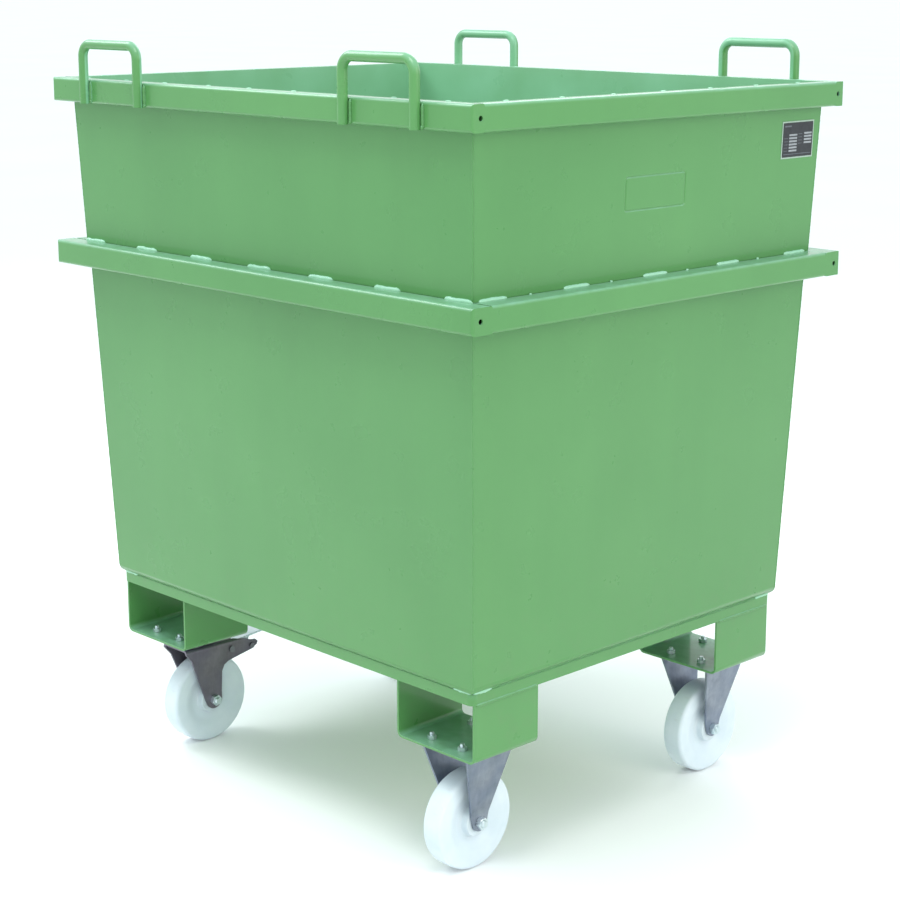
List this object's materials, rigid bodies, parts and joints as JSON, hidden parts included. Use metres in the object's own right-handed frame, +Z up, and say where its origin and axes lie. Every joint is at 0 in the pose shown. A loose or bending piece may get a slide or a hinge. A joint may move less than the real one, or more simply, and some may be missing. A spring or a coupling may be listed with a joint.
{
  "type": "wheeled steel waste container",
  "caption": "Tapered open-top sheet-steel waste container with a raised collar, crane eyes, fork pockets and white castors, fixed and swivelling with a brake.",
  "frame": {"origin": "on the floor under the middle of the container", "axes": "+X along the long side towards the fixed castors, +Y towards the back, +Z up"},
  "size_m": [1.292, 1.1156, 1.59],
  "materials": {
    "green_paint": "semi-gloss light green paint over sheet steel",
    "zinc_plate": "blue-passivated zinc plate on pressed steel",
    "dark_zinc": "duller, darker zinc plate",
    "bright_zinc": "bright zinc plate",
    "bearing_steel": "ground steel",
    "white_nylon": "cast polyamide, slightly translucent white",
    "brake_rubber": "matt black",
    "label": "printed plate, satin"
  },
  "bodies": {
    "container": {"lower_wall_front": "green_paint", "collar_wall_front": "green_paint", "middle_rim_front": "green_paint", "upper_rim_front": "green_paint", "lower_wall_back": "green_paint", "collar_wall_back": "green_paint", "middle_rim_back": "green_paint", "upper_rim_back": "green_paint", "lower_wall_left": "green_paint", "collar_wall_left": "green_paint", "middle_rim_left": "green_paint", "upper_rim_left": "green_paint", "lower_wall_right": "green_paint", "collar_wall_right": "green_paint", "middle_rim_right": "green_paint", "upper_rim_right": "green_paint", "lifting_eye_front_left": "green_paint", "foot_front_left": "green_paint", "lifting_eye_front_right": "green_paint", "foot_front_right": "green_paint", "lifting_eye_back_left": "green_paint", "foot_back_left": "green_paint", "lifting_eye_back_right": "green_paint", "foot_back_right": "green_paint", "fixed_bracket_front": "zinc_plate", "swivel_plate_front": "zinc_plate", "fixed_bracket_back": "zinc_plate", "swivel_plate_back": "zinc_plate", "floor_plate": "green_paint", "base_tray": "green_paint", "rating_plate": "label", "castor_bolts": "bright_zinc", "castor_nuts": "bright_zinc", "fixed_axle_bolts": "bright_zinc", "fixed_axle_nuts": "bright_zinc", "fixed_axle_tubes": "bearing_steel", "swivel_balls": "bearing_steel", "king_pins": "bright_zinc"},
    "swivel_front": {"swivel_fork_front": "dark_zinc", "axle_tube_front": "bearing_steel", "axle_bolt_front": "bright_zinc", "axle_nut_front": "bright_zinc", "brake_pins_front": "bright_zinc"},
    "pedal_front": {"brake_pedal_front": "bright_zinc", "brake_shoe_front": "brake_rubber"},
    "swivel_back": {"swivel_fork_back": "dark_zinc", "axle_tube_back": "bearing_steel", "axle_bolt_back": "bright_zinc", "axle_nut_back": "bright_zinc", "brake_pins_back": "bright_zinc"},
    "pedal_back": {"brake_pedal_back": "bright_zinc", "brake_shoe_back": "brake_rubber"},
    "roller_front_left": {"wheel_front_left": "white_nylon", "roller_bearing_front_left": "bearing_steel"},
    "roller_front_right": {"wheel_front_right": "white_nylon", "roller_bearing_front_right": "bearing_steel"},
    "roller_back_left": {"wheel_back_left": "white_nylon", "roller_bearing_back_left": "bearing_steel"},
    "roller_back_right": {"wheel_back_right": "white_nylon", "roller_bearing_back_right": "bearing_steel"}
  },
  "joints": [
    {"name": "swivel_turn_front", "type": "hinge", "parent": "container", "child": "swivel_front", "pos_m": [-0.452, -0.361, 0.24], "axis": [0, 0, 1], "continuous": true},
    {"name": "brake_press_front", "type": "hinge", "parent": "swivel_front", "child": "pedal_front", "pos_m": [-0.452, -0.271, 0.212], "axis": [-1, 0, 0], "range_deg": [0, 8]},
    {"name": "wheel_spin_front_left", "type": "hinge", "parent": "swivel_front", "child": "roller_front_left", "pos_m": [-0.452, -0.318, 0.1], "axis": [1, 0, 0], "continuous": true},
    {"name": "wheel_spin_front_right", "type": "hinge", "parent": "container", "child": "roller_front_right", "pos_m": [0.452, -0.361, 0.1], "axis": [1, 0, 0], "continuous": true},
    {"name": "swivel_turn_back", "type": "hinge", "parent": "container", "child": "swivel_back", "pos_m": [-0.452, 0.361, 0.24], "axis": [0, 0, 1], "continuous": true},
    {"name": "brake_press_back", "type": "hinge", "parent": "swivel_back", "child": "pedal_back", "pos_m": [-0.452, 0.271, 0.212], "axis": [1, 0, 0], "range_deg": [0, 8]},
    {"name": "wheel_spin_back_left", "type": "hinge", "parent": "swivel_back", "child": "roller_back_left", "pos_m": [-0.452, 0.318, 0.1], "axis": [1, 0, 0], "continuous": true},
    {"name": "wheel_spin_back_right", "type": "hinge", "parent": "container", "child": "roller_back_right", "pos_m": [0.452, 0.361, 0.1], "axis": [1, 0, 0], "continuous": true}
  ]
}
